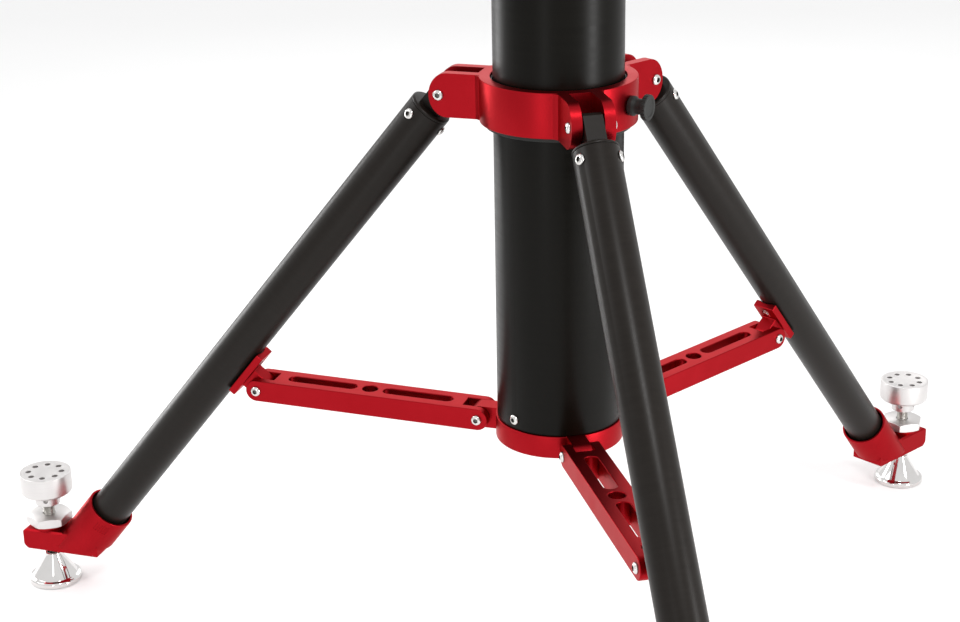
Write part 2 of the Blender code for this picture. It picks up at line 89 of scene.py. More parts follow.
LEG_ANGLE = math.radians(39.0)
LEG_R = 0.019
LEG_WALL = 0.002
LEG_START = 0.019
LEG_END = 0.590
TONGUE_WIDTH = 0.0164
INSERT_PLUG = 0.028
INSERT_SCREW_DROP = 0.0095
PIVOT_ALONG = 0.3437
PIVOT_INWARD = 0.0388
BASE_PIVOT_R = 0.0725
BASE_PIVOT_Z = -RING_HEIGHT / 2
ARM_HEIGHT = 0.020
ARM_WIDTH = 0.033
ARM_SLOT = 0.0168
ARM_TONGUE = 0.016
FORK_DEPTH = 0.0150
WINDOW_SPAN = (0.027, 0.094)
WINDOW_R = 0.006
ARM_HOLE_R = 0.0072
PIN_R = 0.003
BUTTON_R = 0.00475
BUTTON_HEIGHT = 0.0026
SMALL_SHANK_R = 0.0024
SMALL_HOLE_R = 0.0027
SMALL_BUTTON_R = 0.0046
SMALL_BUTTON_HEIGHT = 0.0022
HEX_DEPTH = 0.0032

FOOT_R = 0.528
SLEEVE_START = 0.568
SLEEVE_LENGTH = 0.066
SLEEVE_R = 0.0235
SLEEVE_FLOOR = -0.1975
BLOCK_TOP = -0.182
BLOCK_BOTTOM = -0.203
BLOCK_START = 0.4675
BLOCK_TIP = 0.549
BLOCK_WIDTH = 0.036
SEAT_R = 0.017
SEAT_TOP = -0.179
NUT_R = 0.0225
KNOB_R = 0.0254
KNOB_HEIGHT = 0.0218
KNOB_HUB_R = 0.0123
KNOB_HOLES = 8
KNOB_HOLE_R = 0.0029
KNOB_HOLE_PITCH_R = 0.0163
KNOB_HOLE_START = 20
HUB_HOLE_R = 0.0024
ROD_R = 0.006
FLOOR = -DECK

CAMERA_LENS = 70.88
CAMERA_SHIFT_X = 0.0
CAMERA_SHIFT_Y = 0.0
CAMERA_ROUND = 15.22
CAMERA_DISTANCE = 1.5422
CAMERA_HEIGHT = 0.6708
CAMERA_YAW = -2.56
CAMERA_PITCH = 20.45
CAMERA_ROLL = -1.05


def azimuth(side):
    """The leg's direction about the column, from where its foot stands."""
    low, high = (Vector(corner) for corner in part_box(f"foot_pad_{side}"))
    spot = (low + high) / 2
    return math.atan2(spot.y - AXIS.y, spot.x - AXIS.x)


DECK_PLACE = Matrix.Translation((AXIS.x, AXIS.y, DECK))
UPRIGHT = Matrix.Rotation(math.pi / 2, 4, "X")  # a flat outline's XY plane becomes the radial plane
ALONG_X = Matrix.Rotation(math.pi / 2, 4, "Y")  # a turned piece's axis becomes local +X


def shift(x=0.0, y=0.0, z=0.0):
    return Matrix.Translation((x, y, z))


def turn(angle, axis="Z"):
    return Matrix.Rotation(angle, 4, axis)


def station(side):
    return DECK_PLACE @ turn(azimuth(side))


def leg_place(side):
    """On the collar hinge, local -Z along the leg."""
    return station(side) @ shift(HINGE_R, 0, HINGE_Z) @ turn(-LEG_ANGLE, "Y")


# ---------------------------------------------------------------- mesh tools
def mesh_from(build):
    mesh = bpy.data.meshes.new("shape")
    shape = bmesh.new()
    build(shape)
    bmesh.ops.recalc_face_normals(shape, faces=shape.faces)
    shape.to_mesh(mesh)
    shape.free()
    return mesh


def softened(points, radius, closed=False, steps=3):
    """The polyline with each corner cut back by radius, or by less on short sides, and rounded."""
    result = []
    count = len(points)
    for i, point in enumerate(points):
        here = Vector(point)
        before, after = Vector(points[i - 1]), Vector(points[(i + 1) % count])
        if not closed and i in (0, count - 1):
            result.append(tuple(here))
            continue
        to_before, to_after = before - here, after - here
        straight = to_before.angle(to_after) > math.radians(155)
        if straight:
            result.append(tuple(here))
            continue
        back = min(radius, 0.45 * to_before.length, 0.45 * to_after.length)
        start = here + to_before.normalized() * back
        end = here + to_after.normalized() * back
        for step in range(steps + 1):
            t = step / steps
            spot = start * (1 - t) ** 2 + here * 2 * t * (1 - t) + end * t ** 2
            result.append(tuple(spot))
    return result


def turned(profile, steps=96, closed=False, soft=0.0):
    """A (radius, height) profile turned about local Z, with its corners rounded by soft."""
    if soft:
        profile = softened(profile, soft, closed)

    def build(shape):
        points = [shape.verts.new((radius, 0.0, height)) for radius, height in profile]
        edges = [shape.edges.new(pair) for pair in zip(points, points[1:])]
        if closed:
            edges.append(shape.edges.new((points[-1], points[0])))
        bmesh.ops.spin(shape, geom=points + edges, cent=(0, 0, 0), axis=(0, 0, 1),
                       steps=steps, angle=2 * math.pi, use_merge=True, use_duplicate=False)
        bmesh.ops.remove_doubles(shape, verts=shape.verts, dist=0.000002)
    return mesh_from(build)


def rod(radius, length, segments=32):
    return mesh_from(lambda shape: bmesh.ops.create_cone(
        shape, cap_ends=True, segments=segments, radius1=radius, radius2=radius, depth=length))


def block(x, y, z):
    def build(shape):
        bmesh.ops.create_cube(shape, size=1.0)
        bmesh.ops.scale(shape, vec=(x, y, z), verts=shape.verts)
    return mesh_from(build)


def plate(outline, thickness):
    """A flat outline in local XY, thickened evenly to both sides along Z."""
    def build(shape):
        rim = [shape.verts.new((x, y, -thickness / 2)) for x, y in outline]
        face = shape.faces.new(rim)
        made = bmesh.ops.extrude_face_region(shape, geom=[face])["geom"]
        raised = [item for item in made if isinstance(item, bmesh.types.BMVert)]
        bmesh.ops.translate(shape, vec=(0, 0, thickness), verts=raised)
    return mesh_from(build)


def arc(cx, cy, radius, start, end, steps=20):
    """Points on an arc, in degrees."""
    angles = [math.radians(start + (end - start) * i / steps) for i in range(steps + 1)]
    return [(cx + radius * math.cos(a), cy + radius * math.sin(a)) for a in angles]


def capsule(start, end, radius, steps=20):
    return arc(end, 0.0, radius, -90, 90, steps) + arc(start, 0.0, radius, 90, 270, steps)


def solid(name, mesh, place=Matrix.Identity(4)):
    made = bpy.data.objects.new(name, mesh)
    bpy.context.scene.collection.objects.link(made)
    made.matrix_world = place
    return made


def carve(target, tools):
    """Applies (mesh, place, operation) tools to target, all in one pass; place is in the world."""
    helpers = []
    for mesh, place, operation in tools:
        helper = solid("carving_tool", mesh, place)
        change = target.modifiers.new("carve", "BOOLEAN")
        change.operation = operation
        change.solver = "EXACT"
        change.object = helper
        helpers.append(helper)
    graph = bpy.context.evaluated_depsgraph_get()
    result = bpy.data.meshes.new_from_object(target.evaluated_get(graph))
    target.modifiers.clear()
    target.data = result
    for helper in helpers:
        bpy.data.objects.remove(helper, do_unlink=True)


def weld_and_bevel(target, width=0.0004, segments=2, limit=32.0):
    """Rounds the sharp edges a little, so that they catch the light as machined edges do."""
    shape = bmesh.new()
    shape.from_mesh(target.data)
    bmesh.ops.remove_doubles(shape, verts=shape.verts, dist=0.000005)
    bmesh.ops.dissolve_degenerate(shape, edges=shape.edges, dist=0.000005)
    shape.to_mesh(target.data)
    shape.free()
    if width:
        edge = target.modifiers.new("edge", "BEVEL")
        edge.width = width
        edge.segments = segments
        edge.limit_method = "ANGLE"
        edge.angle_limit = math.radians(limit)
        edge.harden_normals = True
        edge.use_clamp_overlap = True
    smooth(target)


def smooth(target, angle=32.0):
    target.data.shade_smooth()
    target.data.set_sharp_from_angle(angle=math.radians(angle))


def paint_shade(piece, look, inside):
    """Gives look, a painted shade, to the faces whose centre, in the piece's own coordinates, passes inside."""
    piece.data.materials.append(look)
    for face in piece.data.polygons:
        if inside(face.center):
            face.material_index = 1


def finish_piece(piece, look, body, slot, *nodes):
    """Gives the piece its material, hides the CAD nodes it stands for, and lets it ride on its body."""
    piece.data.materials.clear()
    piece.data.materials.append(look)
    if nodes:
        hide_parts(*nodes)
    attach(piece, body)
    return piece


# ---------------------------------------------------------------- materials
def new_material(name, base, roughness, metallic):
    made = bpy.data.materials.new(name)
    made.use_nodes = True
    shader = made.node_tree.nodes["Principled BSDF"]
    shader.inputs["Base Color"].default_value = (*base, 1.0)
    shader.inputs["Roughness"].default_value = roughness
    shader.inputs["Metallic"].default_value = metallic
    return made, made.node_tree, shader


def node(tree, kind, **settings):
    made = tree.nodes.new(kind)
    for key, value in settings.items():
        setattr(made, key, value)
    return made


def noise(tree, scale, detail=4.0, stretch=(1.0, 1.0, 1.0)):
    """Noise in the piece's own coordinates, stretched to run as brushing or turning marks do."""
    place = node(tree, "ShaderNodeTexCoord")
    mapping = node(tree, "ShaderNodeMapping")
    mapping.inputs["Scale"].default_value = stretch
    texture = node(tree, "ShaderNodeTexNoise")
    texture.inputs["Scale"].default_value = scale
    texture.inputs["Detail"].default_value = detail
    tree.links.new(place.outputs["Object"], mapping.inputs["Vector"])
    tree.links.new(mapping.outputs["Vector"], texture.inputs["Vector"])
    return texture.outputs["Fac"]


def spread(tree, value, low, high):
    """The value from 0 to 1 mapped to low to high."""
    ramp = node(tree, "ShaderNodeMapRange")
    ramp.inputs["From Min"].default_value = 0.25
    ramp.inputs["From Max"].default_value = 0.75
    ramp.inputs["To Min"].default_value = low
    ramp.inputs["To Max"].default_value = high
    tree.links.new(value, ramp.inputs["Value"])
    return ramp.outputs["Result"]


def tint(tree, value, first, second):
    mix = node(tree, "ShaderNodeMix", data_type="RGBA")
    mix.inputs["A"].default_value = (*first, 1.0)
    mix.inputs["B"].default_value = (*second, 1.0)
    tree.links.new(value, mix.inputs["Factor"])
    return mix.outputs["Result"]


def bump(tree, shader, value, strength, distance):
    made = node(tree, "ShaderNodeBump")
    made.inputs["Strength"].default_value = strength
    made.inputs["Distance"].default_value = distance
    tree.links.new(value, made.inputs["Height"])
    tree.links.new(made.outputs["Normal"], shader.inputs["Normal"])


def red_anodised():
    """Red dyed anodising: a clear oxide skin over bead-blasted metal."""
    made, tree, shader = new_material("red_anodised", (0.36, 0.005, 0.008), 0.36, 1.0)
    clouds = noise(tree, 35.0, 3.0)
    colour = tint(tree, clouds, (0.30, 0.0065, 0.0105), (0.36, 0.0095, 0.0155))
    tree.links.new(colour, shader.inputs["Base Color"])
    tree.links.new(spread(tree, clouds, 0.32, 0.40), shader.inputs["Roughness"])
    shader.inputs["Specular Tint"].default_value = (1.0, 0.65, 0.65, 1.0)
    bump(tree, shader, noise(tree, 2600.0, 2.0), 0.10, 0.0002)
    return made


def black_anodised(name, dark, light, rough, shine, grain):
    """Black anodised tube, with fine marks that run round it."""
    made, tree, shader = new_material(name, dark, rough, 0.0)
    marks = noise(tree, 60.0, 5.0, grain)
    tree.links.new(tint(tree, marks, dark, light), shader.inputs["Base Color"])
    tree.links.new(spread(tree, marks, rough - 0.03, rough + 0.05), shader.inputs["Roughness"])
    shader.inputs["Specular IOR Level"].default_value = shine
    bump(tree, shader, marks, 0.05, 0.0002)
    return made


def black_polymer():
    made, tree, shader = new_material("black_polymer", (0.014, 0.014, 0.013), 0.5, 0.0)
    shader.inputs["Specular IOR Level"].default_value = 0.25
    pebbles = noise(tree, 900.0, 3.0)
    colour = tint(tree, pebbles, (0.010, 0.010, 0.009), (0.018, 0.018, 0.017))
    tree.links.new(colour, shader.inputs["Base Color"])
    tree.links.new(spread(tree, pebbles, 0.44, 0.58), shader.inputs["Roughness"])
    bump(tree, shader, pebbles, 0.15, 0.0003)
    return made


def stainless():
    made, tree, shader = new_material("stainless", (0.66, 0.65, 0.63), 0.2, 1.0)
    marks = noise(tree, 500.0, 3.0, (1.0, 1.0, 4.0))
    tree.links.new(tint(tree, marks, (0.60, 0.585, 0.565), (0.74, 0.725, 0.71)), shader.inputs["Base Color"])
    tree.links.new(spread(tree, marks, 0.14, 0.26), shader.inputs["Roughness"])
    return made


def painted_shade_steel(name, dark, light):
    """Steel with painted shade: a darker base colour stands for the shade inside hexagon sockets and between
    thread flanks.
    """
    made, tree, shader = new_material(name, dark, 0.35, 1.0)
    marks = noise(tree, 900.0, 3.0)
    tree.links.new(tint(tree, marks, dark, light), shader.inputs["Base Color"])
    tree.links.new(spread(tree, marks, 0.28, 0.42), shader.inputs["Roughness"])
    return made


def satin_aluminium():
    """Turned aluminium: fine rings round the piece's axis."""
    made, tree, shader = new_material("satin_aluminium", (0.90, 0.885, 0.88), 0.36, 0.9)
    rings = noise(tree, 250.0, 4.0, (0.3, 0.3, 14.0))
    tree.links.new(tint(tree, rings, (0.60, 0.58, 0.575), (0.72, 0.70, 0.69)), shader.inputs["Base Color"])
    tree.links.new(spread(tree, rings, 0.30, 0.44), shader.inputs["Roughness"])
    bump(tree, shader, rings, 0.08, 0.0002)
    return made


def chrome():
    made, tree, shader = new_material("chrome", (0.88, 0.87, 0.86), 0.07, 1.0)
    clouds = noise(tree, 80.0, 3.0)
    tree.links.new(spread(tree, clouds, 0.04, 0.11), shader.inputs["Roughness"])
    tree.links.new(tint(tree, clouds, (0.66, 0.645, 0.635), (0.75, 0.735, 0.725)), shader.inputs["Base Color"])
    return made


RED = red_anodised()
COLUMN_BLACK = black_anodised(
    "column_black", (0.0016, 0.0012, 0.0006), (0.0030, 0.0025, 0.0014), 0.33, 0.11, (0.25, 0.25, 6.0))
# painted sheen: the legs' base colour is lighter and warmer than the column's to stand for the light the legs
# reflect
LEG_BLACK_PAINTED_SHEEN = black_anodised(
    "leg_black", (0.0070, 0.0052, 0.0040), (0.0110, 0.0085, 0.0068), 0.34, 0.16, (1.0, 1.0, 6.0))
POLYMER = black_polymer()
STEEL = stainless()
# painted shade: dark steel for the inside of the hexagon sockets, where shade falls
SOCKET_PAINTED_SHADE = painted_shade_steel("socket_shade", (0.07, 0.066, 0.06), (0.13, 0.125, 0.115))
# painted shade: the thread's steel is darkened to stand for the shade between its flanks
THREAD_PAINTED_SHADE = painted_shade_steel("thread_painted_shade", (0.34, 0.325, 0.30), (0.50, 0.48, 0.45))
SATIN = satin_aluminium()
CHROME = chrome()

HEX_SIDES = 6
FINE_STEPS = 160  # segments round the column and its rings


def hex_recess(radius, depth):
    """A hexagonal cutter, radius across its corners, centred on its origin."""
    return rod(radius, depth, HEX_SIDES)


def dome(radius, height, start):
    """Profile points of a domed head from its crown down to its rim, standing on start."""
    return [(radius * math.sin(math.radians(a)), start + height * math.cos(math.radians(a)) ** 0.8)
            for a in (0, 15, 30, 45, 60, 75, 88)] + [(radius, start)]


def button_screw(name, place, shank_r, shank, head_r, head_height):
    """A button head screw, its head standing on the place's XY plane and its shank along local -Z."""
    profile = dome(head_r, head_height, 0.0) + [(shank_r, 0.0), (shank_r, -shank), (0.0, -shank)]
    piece = solid(name, turned(profile, 40), place)
    carve(piece, [(hex_recess(0.50 * head_r, HEX_DEPTH), place @ shift(z=head_height), "DIFFERENCE")])
    weld_and_bevel(piece, 0.0)
    return piece


def in_socket(head_r, top):
    """True for the faces of a hexagon socket that opens at height top, on either end of the axis; these faces
    get the painted shade.
    """
    within = 0.47 * head_r
    return lambda spot: math.hypot(spot.x, spot.y) < within and top - 0.0024 < abs(spot.z) < top - 0.0003


# ---------------------------------------------------------------- column, base ring and head plate
def build_column():
    inner = COLUMN_R - COLUMN_WALL
    plug = inner - GAP
    column = solid("column", turned([
        (COLUMN_R, COLUMN_TOP), (COLUMN_R, GAP), (inner, GAP), (inner, COLUMN_TOP)],
        FINE_STEPS, True, 0.0006), DECK_PLACE)
    ring = solid("base_ring_fine", turned([
        (PLUG_BORE_R, PLUG_HEIGHT), (plug, PLUG_HEIGHT), (plug, 0.0), (RING_R, 0.0), (RING_R, -RING_HEIGHT),
        (RING_BORE_R, -RING_HEIGHT), (RING_BORE_R, RING_FLOOR), (PLUG_BORE_R, RING_FLOOR)],
        FINE_STEPS, True, 0.0006), DECK_PLACE)
    top = COLUMN_TOP + HEAD_HEIGHT
    head = solid("head_plate_fine", turned([
        (HEAD_BOLT_R, top), (RING_R, top), (RING_R, COLUMN_TOP + GAP), (plug, COLUMN_TOP + GAP),
        (plug, COLUMN_TOP - PLUG_HEIGHT), (HEAD_BORE_R, COLUMN_TOP - PLUG_HEIGHT),
        (HEAD_BORE_R, COLUMN_TOP + GAP), (HEAD_BOLT_R, COLUMN_TOP + GAP)], FINE_STEPS, True, 0.0008), DECK_PLACE)

    holes = {"column": [], "base": [], "head": []}
    for end, height in (("base", SCREW_Z), ("head", COLUMN_TOP - SCREW_Z)):
        for side in SIDES:
            between = DECK_PLACE @ turn(azimuth(side) + math.radians(60))
            spot = between @ shift(COLUMN_R + GAP, 0, height) @ ALONG_X
            for target in ("column", end):
                holes[target].append((rod(SMALL_HOLE_R, 0.024), spot, "DIFFERENCE"))
            screw = button_screw(f"{end}_button_{side}", spot, SMALL_SHANK_R, 0.010,
                                 SMALL_BUTTON_R, SMALL_BUTTON_HEIGHT)
            finish_piece(screw, STEEL, "column", "screws", f"{end}_screw_{side}")
            paint_shade(screw, SOCKET_PAINTED_SHADE, in_socket(SMALL_BUTTON_R, SMALL_BUTTON_HEIGHT))
    carve(column, holes["column"])
    carve(head, holes["head"])

    tools = holes["base"]
    half = RING_HEIGHT / 2
    for side in SIDES:
        spot = station(side) @ shift(0, 0, BASE_PIVOT_Z) @ UPRIGHT
        outline = [(0.048, -half)] + arc(BASE_PIVOT_R, 0.0, half, -90, 90) + [(0.048, half)]
        tools.append((plate(outline, ARM_TONGUE), spot, "UNION"))
        tools.append((rod(PIN_R + GAP, 0.060), spot @ shift(BASE_PIVOT_R), "DIFFERENCE"))
    carve(ring, tools)

    for piece, look, kind, original in ((column, COLUMN_BLACK, "column_black", "column_tube"),
                                        (ring, RED, "red_aluminium", "base_ring"),
                                        (head, RED, "red_aluminium", "head_plate")):
        weld_and_bevel(piece)
        finish_piece(piece, look, "column", kind, original)


# ---------------------------------------------------------------- sliding collar
def build_collar():
    place = DECK_PLACE @ shift(z=HINGE_Z)
    ring = solid("collar", turned([
        (COLLAR_R, COLLAR_HALF), (COLLAR_R, -COLLAR_HALF), (COLLAR_BORE_R, -COLLAR_HALF),
        (COLLAR_BORE_R, COLLAR_HALF)], FINE_STEPS, True, 0.0008), place)
    tools = []
    for side in SIDES:
        spot = station(side) @ shift(z=HINGE_Z)
        nose = [(LUG_NOSE_START + LUG_NOSE_REACH * x, COLLAR_HALF * y)
                for x, y in arc(0.0, 0.0, 1.0, -90, 90, 28)]
        outline = [(LUG_ROOT, -COLLAR_HALF)] + nose + [(LUG_ROOT, COLLAR_HALF)]
        tools.append((plate(outline, LUG_WIDTH), spot @ UPRIGHT, "UNION"))
        for way in (1, -1):
            # a narrow flat where the lug's cheek runs into the ring
            corner = [(0.0600, 0.0170), (0.0672, 0.0170), (0.0672, 0.0182), (0.0632, 0.0214),
                      (0.0600, 0.0214)]
            web = plate([(x, way * y) for x, y in corner], 2 * COLLAR_HALF - 0.0006)
            tools.append((web, spot, "UNION"))
    for side in SIDES:
        spot = station(side) @ shift(z=HINGE_Z)
        depth = 0.130 - SLOT_ROOT
        tools.append((block(depth, LUG_SLOT, 0.080), spot @ shift(SLOT_ROOT + depth / 2), "DIFFERENCE"))
        tools.append((rod(PIN_R + GAP, 0.080), spot @ shift(HINGE_R) @ UPRIGHT, "DIFFERENCE"))
        for direction in (1, -1):
            cheek = spot @ shift(HINGE_R, direction * (LUG_WIDTH / 2 + GAP))
            spot_out = cheek @ turn(-direction * math.pi / 2, "X")
            letter = "a" if direction == 1 else "b"
            screw = button_screw(f"lug_button_{side}_{letter}", spot_out, PIN_R,
                                 (LUG_WIDTH - LUG_SLOT) / 2, BUTTON_R, BUTTON_HEIGHT)
            finish_piece(screw, STEEL, "collar", "screws", f"hinge_screw_{side}_{letter}")
            paint_shade(screw, SOCKET_PAINTED_SHADE, in_socket(BUTTON_R, BUTTON_HEIGHT))
    clamp = DECK_PLACE @ shift(z=clamp_height()) @ turn(CLAMP_AZIMUTH) @ ALONG_X
    tools.append((rod(CLAMP_HOLE_R, 0.040), clamp @ shift(z=COLLAR_R), "DIFFERENCE"))
    carve(ring, tools)
    weld_and_bevel(ring, 0.0006)
    finish_piece(ring, RED, "collar", "red_aluminium", "collar_ring")

    low = -COLLAR_HALF - GAP
    bushing = solid("bushing", turned([
        (BUSHING_R, COLLAR_HALF - BUSHING_SUNK), (BUSHING_R, low), (BUSHING_FLANGE_R, low),
        (BUSHING_FLANGE_R, low - BUSHING_FLANGE), (BUSHING_BORE_R, low - BUSHING_FLANGE),
        (BUSHING_BORE_R, COLLAR_HALF - BUSHING_SUNK)], FINE_STEPS, True, 0.0006), place)
    carve(bushing, [(rod(CLAMP_HOLE_R, 0.040), clamp @ shift(z=COLLAR_R), "DIFFERENCE")])
    weld_and_bevel(bushing, 0.0003)
    finish_piece(bushing, POLYMER, "collar", "polymer", "collar_bushing")
    build_clamp(clamp)


def clamp_height():
    low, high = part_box("clamp_knob")
    return (low[2] + high[2]) / 2 - DECK


def build_clamp(place):
    """A knurled thumb screw: a thick base, a waist and a thin wide head."""
    head_r, neck_r, base_r = 0.0108, 0.0066, 0.0083
    base, neck_end, end = COLLAR_R + GAP, COLLAR_R + 0.0133, COLLAR_R + 0.0175
    profile = [(0.0, end - 0.0006), (head_r - 0.0035, end - 0.0006), (head_r - 0.0028, end), (head_r, end),
               (head_r, neck_end), (neck_r, neck_end), (neck_r, base + 0.006), (base_r, base + 0.004),
               (base_r, base), (0.0040, base), (0.0040, COLUMN_R + 0.0008), (0.0, COLUMN_R + 0.0008)]
    knob = solid("clamp_thumb_screw", turned(profile, 72, False, 0.0008), place)
    grooves = []
    for step in range(20):
        spot = place @ turn(2 * math.pi * step / 20) @ shift(head_r + 0.0006, 0, (neck_end + end) / 2)
        grooves.append((rod(0.0011, 0.010, 10), spot, "DIFFERENCE"))
    carve(knob, grooves)
    weld_and_bevel(knob, 0.0002)
    finish_piece(knob, POLYMER, "clamp", "polymer", "clamp_knob")


# ---------------------------------------------------------------- legs
def build_leg(side):
    place = leg_place(side)
    body = f"leg_{side}"
    inner = LEG_R - LEG_WALL
    start = -LEG_START - 0.003
    tube = solid(f"tube_{side}", turned([
        (LEG_R, start), (LEG_R, -LEG_END), (inner, -LEG_END), (inner, start)], 96, True, 0.0005), place)
    plug = inner - GAP
    rim = start + GAP
    insert = solid(f"tongue_insert_{side}", turned([
        (0.0, -LEG_START), (LEG_R - 0.0012, -LEG_START), (LEG_R, -LEG_START - 0.0010), (LEG_R, rim),
        (plug, rim), (plug, rim - INSERT_PLUG), (0.0, rim - INSERT_PLUG)], 96, False, 0.0004), place)
    half = 0.010
    root = -LEG_START - 0.005
    outline = [(half, root), (half, 0.005), (half - 0.004, 0.009), (-half + 0.004, 0.009), (-half, 0.005),
               (-half, root)]
    insert_tools = [(plate(outline, TONGUE_WIDTH), place @ UPRIGHT, "UNION"),
                    (rod(PIN_R + GAP, 0.040), place @ UPRIGHT, "DIFFERENCE")]
    tube_tools = []
    for count in range(3):
        level = place @ shift(z=rim - INSERT_SCREW_DROP)
        spot = level @ turn(math.radians(60 + 120 * count)) @ shift(LEG_R + GAP) @ ALONG_X
        screw = button_screw(f"tube_button_{side}_{count + 1}", spot, SMALL_SHANK_R, 0.008,
                             SMALL_BUTTON_R, SMALL_BUTTON_HEIGHT)
        finish_piece(screw, STEEL, body, "screws", f"insert_screw_{side}_{count + 1}")
        paint_shade(screw, SOCKET_PAINTED_SHADE, in_socket(SMALL_BUTTON_R, SMALL_BUTTON_HEIGHT))
        for tools in (insert_tools, tube_tools):
            tools.append((rod(SMALL_HOLE_R, 0.018), spot, "DIFFERENCE"))
    carve(insert, insert_tools)
    carve(tube, tube_tools)
    weld_and_bevel(insert, 0.0005)
    weld_and_bevel(tube, 0.0003)
    finish_piece(insert, LEG_BLACK_PAINTED_SHEEN, body, "leg_black", f"leg_insert_{side}")
    finish_piece(tube, LEG_BLACK_PAINTED_SHEEN, body, "leg_black", f"leg_tube_{side}")
    build_saddle(side, place, body)
    build_foot_bracket(side, place, body)


def build_saddle(side, place, body):
    """The plate on the leg's inner side that carries the spreader arm's outer pivot."""
    thickness, width, length = 0.007, 0.024, 0.049
    past_pivot, screw_above = 0.022, 0.017
    middle = -PIVOT_ALONG + length / 2 - past_pivot
    centre = place @ shift(-LEG_R + 0.0010 - thickness / 2, 0, middle)
    saddle = solid(f"saddle_{side}", block(thickness, width, length), centre)
    reach = PIVOT_INWARD - LEG_R - 0.003
    half = ARM_HEIGHT / 2
    outline = [(reach, half)] + arc(0.0, 0.0, half, 90, 270) + [(reach, -half)]
    pivot = place @ shift(-PIVOT_INWARD, 0, -PIVOT_ALONG) @ UPRIGHT
    face = place @ shift(-LEG_R - thickness + 0.0010, 0, -PIVOT_ALONG + screw_above)
    screw_spot = face @ turn(-math.pi / 2, "Y")
    carve(saddle, [
        (plate(outline, ARM_TONGUE), pivot, "UNION"),
        (rod(PIN_R + GAP, 0.040), pivot, "DIFFERENCE"),
        (rod(LEG_R + GAP, 0.080, 96), place @ shift(z=middle), "DIFFERENCE"),
        (rod(0.0045, 0.006, 40), screw_spot, "DIFFERENCE")])
    weld_and_bevel(saddle, 0.0009, 3)
    finish_piece(saddle, RED, body, "red_aluminium", f"leg_bracket_{side}")
    head = turned([(0.0, 0.0), (0.0040, 0.0), (0.0040, -0.0026), (0.0, -0.0026)], 40, False, 0.0004)
    screw = solid(f"saddle_screw_{side}", head, screw_spot @ shift(z=-0.0002))
    carve(screw, [(hex_recess(0.0022, 0.003), screw_spot, "DIFFERENCE")])
    weld_and_bevel(screw, 0.0)
    finish_piece(screw, STEEL, body, "screws")


def build_foot_bracket(side, place, body):
    spot = station(side)
    profile = [(0.0, 0.0), (SLEEVE_R, 0.0), (SLEEVE_R, -SLEEVE_LENGTH), (0.0, -SLEEVE_LENGTH)]
    bracket = solid(f"foot_socket_{side}", turned(profile, 96, False, 0.0008), place @ shift(z=-SLEEVE_START))
    outline = [(BLOCK_START, BLOCK_BOTTOM), (BLOCK_TIP - 0.004, BLOCK_BOTTOM),
               (BLOCK_TIP, BLOCK_BOTTOM + 0.004), (BLOCK_TIP, BLOCK_TOP - 0.0025),
               (BLOCK_TIP - 0.0025, BLOCK_TOP), (BLOCK_START + 0.020, BLOCK_TOP),
               (BLOCK_START, BLOCK_TOP - 0.010)]
    pocket = LEG_END - SLEEVE_START + 0.010 + GAP
    seat = FOOT_R - NUT_R - 0.001
    boss = SEAT_TOP - BLOCK_TOP + 0.005
    tools = [
        (block(0.300, 0.100, 0.080), spot @ shift(0.480, 0, SLEEVE_FLOOR - 0.040), "DIFFERENCE"),
        (plate(softened(outline, 0.0015, True), BLOCK_WIDTH), spot @ UPRIGHT, "UNION"),
        (block(0.080, 0.100, 0.080), spot @ shift(seat + 0.040, 0, BLOCK_TOP + 0.040), "DIFFERENCE")]
    for way in (1, -1):
        chamfer = spot @ shift(seat + 0.080, way * BLOCK_WIDTH / 2, BLOCK_TOP) @ turn(math.pi / 4, "X")
        tools.append((block(0.160, 0.0024, 0.0024), chamfer, "DIFFERENCE"))
    tools += [
        (rod(SEAT_R, boss, 96), spot @ shift(FOOT_R, 0, SEAT_TOP - boss / 2), "UNION"),
        (rod(LEG_R + GAP, pocket, 96), place @ shift(z=-SLEEVE_START + 0.010 - pocket / 2), "DIFFERENCE"),
        (rod(ROD_R + GAP, 0.090, 48), spot @ shift(FOOT_R, 0, BLOCK_BOTTOM + 0.010), "DIFFERENCE")]
    # a flare at the socket's mouth, where the leg enters
    mouth = turned([(LEG_R + 0.0026, 0.001), (LEG_R + 0.0022, -0.003), (LEG_R + 0.0001, -0.006), (0.0, -0.006),
                    (0.0, 0.001)], 96)
    tools.append((mouth, place @ shift(z=-SLEEVE_START), "DIFFERENCE"))
    for line in range(6):
        groove = place @ turn(math.radians(93 + 6 * line)) @ shift(SLEEVE_R + 0.0002, 0, -SLEEVE_START - 0.010)
        tools.append((rod(0.0006, 0.010, 8), groove, "DIFFERENCE"))
    carve(bracket, tools)
    weld_and_bevel(bracket, 0.0006, 3)
    finish_piece(bracket, RED, body, "red_aluminium", f"foot_bracket_{side}")
    build_nut(side, spot, body)


def build_nut(side, spot, body):
    low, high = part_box(f"lock_nut_{side}")
    across = NUT_R
    bottom, top = low[2] - DECK, high[2] - DECK
    height = top - bottom
    place = spot @ shift(FOOT_R, 0, (top + bottom) / 2)
    nut = solid(f"hex_nut_{side}", rod(across, height, HEX_SIDES), place)
    corner = turned([
        (0.0, height / 2), (across - 0.0034, height / 2), (across + 0.0004, height / 2 - 0.0018),
        (across + 0.0004, -height / 2 + 0.0012), (across - 0.0026, -height / 2), (0.0, -height / 2)], 96)
    carve(nut, [(corner, place, "INTERSECT"), (rod(ROD_R + GAP, 0.040, 48), place, "DIFFERENCE")])
    weld_and_bevel(nut, 0.0004)
    finish_piece(nut, SATIN, body, "satin_metal", f"lock_nut_{side}")


